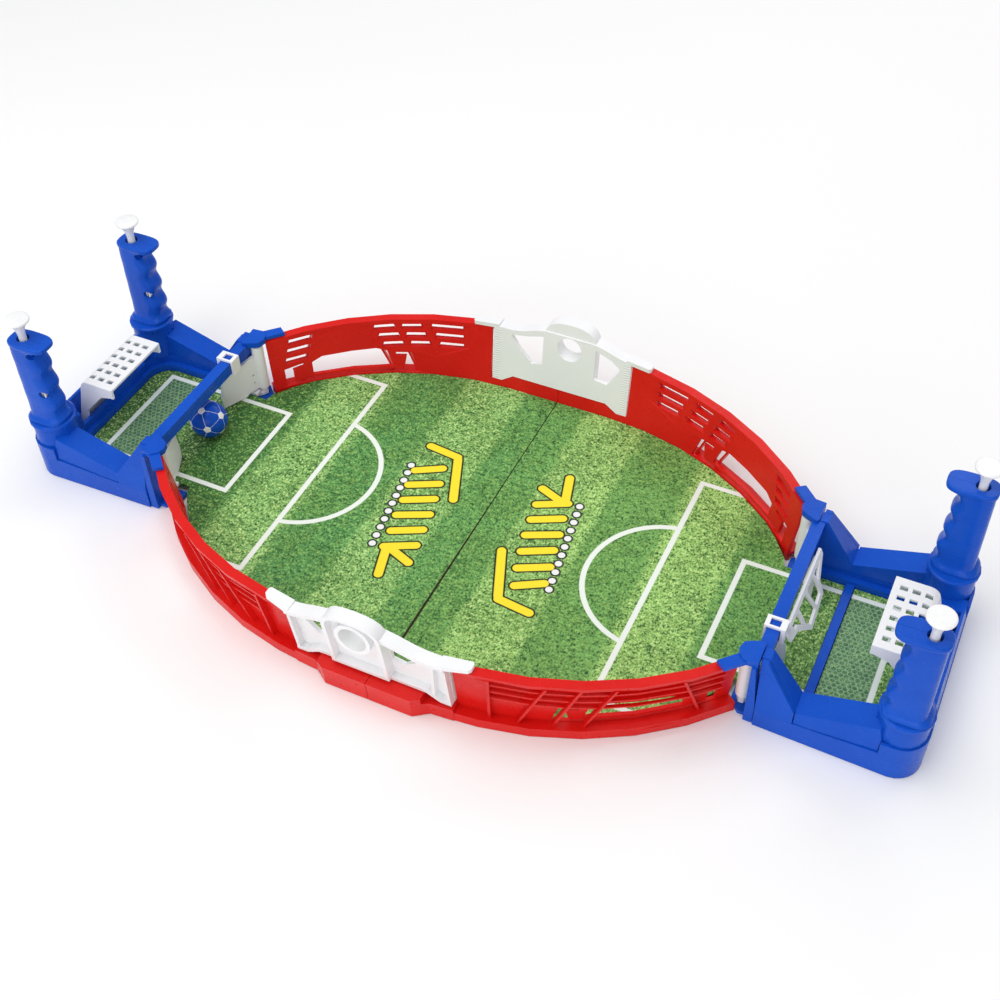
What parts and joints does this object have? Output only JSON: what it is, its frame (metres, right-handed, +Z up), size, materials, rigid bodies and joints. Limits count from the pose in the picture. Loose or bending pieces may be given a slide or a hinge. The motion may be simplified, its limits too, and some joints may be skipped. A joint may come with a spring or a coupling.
{
  "type": "table-top football game",
  "caption": "Table-top football game: fenced oval pitch with a goal at each end, push-button grips that kick hinged flippers at the goal mouths, and a loose ball.",
  "frame": {"origin": "centre of the footprint, at table level", "axes": "+X along the length towards the right player's end, +Y towards the far side, +Z up"},
  "size_m": [0.525, 0.2566, 0.1086],
  "materials": {
    "blue_plastic": "glossy blue moulded plastic",
    "red_plastic": "glossy red moulded plastic",
    "white_plastic": "satin white moulded plastic",
    "printed_turf": "board with a printed grass film and white lines",
    "steel": "bright zinc-plated steel",
    "ball_plastic": "blue ball with white printed patches"
  },
  "bodies": {
    "table": {"centre_fence_far": "white_plastic", "centre_fence_near": "white_plastic", "end_base_left": "blue_plastic", "end_base_right": "blue_plastic", "end_cover_left": "blue_plastic", "end_cover_right": "blue_plastic", "fence_left_far": "red_plastic", "fence_left_near": "red_plastic", "fence_right_far": "red_plastic", "fence_right_near": "red_plastic", "goal_floor_left": "printed_turf", "goal_floor_right": "printed_turf", "goal_hood_left": "white_plastic", "goal_hood_right": "white_plastic", "goal_net_left": "white_plastic", "goal_net_right": "white_plastic", "grip_body_left_far": "blue_plastic", "grip_body_left_near": "blue_plastic", "grip_body_right_far": "blue_plastic", "grip_body_right_near": "blue_plastic", "grip_cover_left_far": "blue_plastic", "grip_cover_left_near": "blue_plastic", "grip_cover_right_far": "blue_plastic", "grip_cover_right_near": "blue_plastic", "grip_screw_left_far": "steel", "grip_screw_left_near": "steel", "grip_screw_right_far": "steel", "grip_screw_right_near": "steel", "hinge_bracket_left_far": "blue_plastic", "hinge_bracket_left_near": "blue_plastic", "hinge_bracket_right_far": "blue_plastic", "hinge_bracket_right_near": "blue_plastic", "pitch_board_left": "printed_turf", "pitch_board_right": "printed_turf", "return_spring_left_far": "steel", "return_spring_left_near": "steel", "return_spring_right_far": "steel", "return_spring_right_near": "steel"},
    "ball": {"ball": "ball_plastic"},
    "button_left_near": {"push_button_left_near": "white_plastic"},
    "crank_left_near": {"bell_crank_left_near": "white_plastic"},
    "rod_left_near": {"push_rod_left_near": "white_plastic"},
    "flipper_left_near": {"flipper_left_near": "white_plastic"},
    "button_left_far": {"push_button_left_far": "white_plastic"},
    "crank_left_far": {"bell_crank_left_far": "white_plastic"},
    "rod_left_far": {"push_rod_left_far": "white_plastic"},
    "flipper_left_far": {"flipper_left_far": "white_plastic"},
    "button_right_near": {"push_button_right_near": "white_plastic"},
    "crank_right_near": {"bell_crank_right_near": "white_plastic"},
    "rod_right_near": {"push_rod_right_near": "white_plastic"},
    "flipper_right_near": {"flipper_right_near": "white_plastic"},
    "button_right_far": {"push_button_right_far": "white_plastic"},
    "crank_right_far": {"bell_crank_right_far": "white_plastic"},
    "rod_right_far": {"push_rod_right_far": "white_plastic"},
    "flipper_right_far": {"flipper_right_far": "white_plastic"}
  },
  "joints": [
    {"name": "press_left_near", "type": "slide", "parent": "table", "child": "button_left_near", "axis": [0, 0, -1], "range_m": [0, 0.007], "stiffness_N_per_m": 120, "springref_m": -0.006, "deforming": ["return_spring_left_near"]},
    {"name": "rock_left_near", "type": "hinge", "parent": "table", "child": "crank_left_near", "pos_m": [-0.239, -0.05, 0.015], "axis": [0, -1, 0], "range_deg": [0, 41]},
    {"name": "push_left_near", "type": "slide", "parent": "table", "child": "rod_left_near", "axis": [1, 0, 0], "range_m": [0, 0.006]},
    {"name": "kick_left_near", "type": "hinge", "parent": "table", "child": "flipper_left_near", "pos_m": [-0.172, -0.05, 0.02], "axis": [0, 0, -1], "range_deg": [0, 60]},
    {"name": "press_left_far", "type": "slide", "parent": "table", "child": "button_left_far", "axis": [0, 0, -1], "range_m": [0, 0.007], "stiffness_N_per_m": 120, "springref_m": -0.006, "deforming": ["return_spring_left_far"]},
    {"name": "rock_left_far", "type": "hinge", "parent": "table", "child": "crank_left_far", "pos_m": [-0.239, 0.05, 0.015], "axis": [0, -1, 0], "range_deg": [0, 41]},
    {"name": "push_left_far", "type": "slide", "parent": "table", "child": "rod_left_far", "axis": [1, 0, 0], "range_m": [0, 0.006]},
    {"name": "kick_left_far", "type": "hinge", "parent": "table", "child": "flipper_left_far", "pos_m": [-0.172, 0.05, 0.02], "axis": [0, 0, 1], "range_deg": [0, 60]},
    {"name": "press_right_near", "type": "slide", "parent": "table", "child": "button_right_near", "axis": [0, 0, -1], "range_m": [0, 0.007], "stiffness_N_per_m": 120, "springref_m": -0.006, "deforming": ["return_spring_right_near"]},
    {"name": "rock_right_near", "type": "hinge", "parent": "table", "child": "crank_right_near", "pos_m": [0.239, -0.05, 0.015], "axis": [0, 1, 0], "range_deg": [0, 41]},
    {"name": "push_right_near", "type": "slide", "parent": "table", "child": "rod_right_near", "axis": [-1, 0, 0], "range_m": [0, 0.006]},
    {"name": "kick_right_near", "type": "hinge", "parent": "table", "child": "flipper_right_near", "pos_m": [0.172, -0.05, 0.02], "axis": [0, 0, 1], "range_deg": [0, 60]},
    {"name": "press_right_far", "type": "slide", "parent": "table", "child": "button_right_far", "axis": [0, 0, -1], "range_m": [0, 0.007], "stiffness_N_per_m": 120, "springref_m": -0.006, "deforming": ["return_spring_right_far"]},
    {"name": "rock_right_far", "type": "hinge", "parent": "table", "child": "crank_right_far", "pos_m": [0.239, 0.05, 0.015], "axis": [0, 1, 0], "range_deg": [0, 41]},
    {"name": "push_right_far", "type": "slide", "parent": "table", "child": "rod_right_far", "axis": [-1, 0, 0], "range_m": [0, 0.006]},
    {"name": "kick_right_far", "type": "hinge", "parent": "table", "child": "flipper_right_far", "pos_m": [0.172, 0.05, 0.02], "axis": [0, 0, -1], "range_deg": [0, 60]},
    {"name": "ball_roll", "type": "slide", "parent": "table", "child": "ball", "axis": [1, 0, 0], "range_m": [0, 0.349]}
  ],
  "couplings": [
    {"joint": "rock_left_near", "follows": "press_left_near", "rad_per_m": 102.2},
    {"joint": "push_left_near", "follows": "press_left_near", "ratio": 0.857},
    {"joint": "kick_left_near", "follows": "press_left_near", "rad_per_m": 149.59},
    {"joint": "rock_left_far", "follows": "press_left_far", "rad_per_m": 102.2},
    {"joint": "push_left_far", "follows": "press_left_far", "ratio": 0.857},
    {"joint": "kick_left_far", "follows": "press_left_far", "rad_per_m": 149.59},
    {"joint": "rock_right_near", "follows": "press_right_near", "rad_per_m": 102.2},
    {"joint": "push_right_near", "follows": "press_right_near", "ratio": 0.857},
    {"joint": "kick_right_near", "follows": "press_right_near", "rad_per_m": 149.59},
    {"joint": "rock_right_far", "follows": "press_right_far", "rad_per_m": 102.2},
    {"joint": "push_right_far", "follows": "press_right_far", "ratio": 0.857},
    {"joint": "kick_right_far", "follows": "press_right_far", "rad_per_m": 149.59}
  ]
}
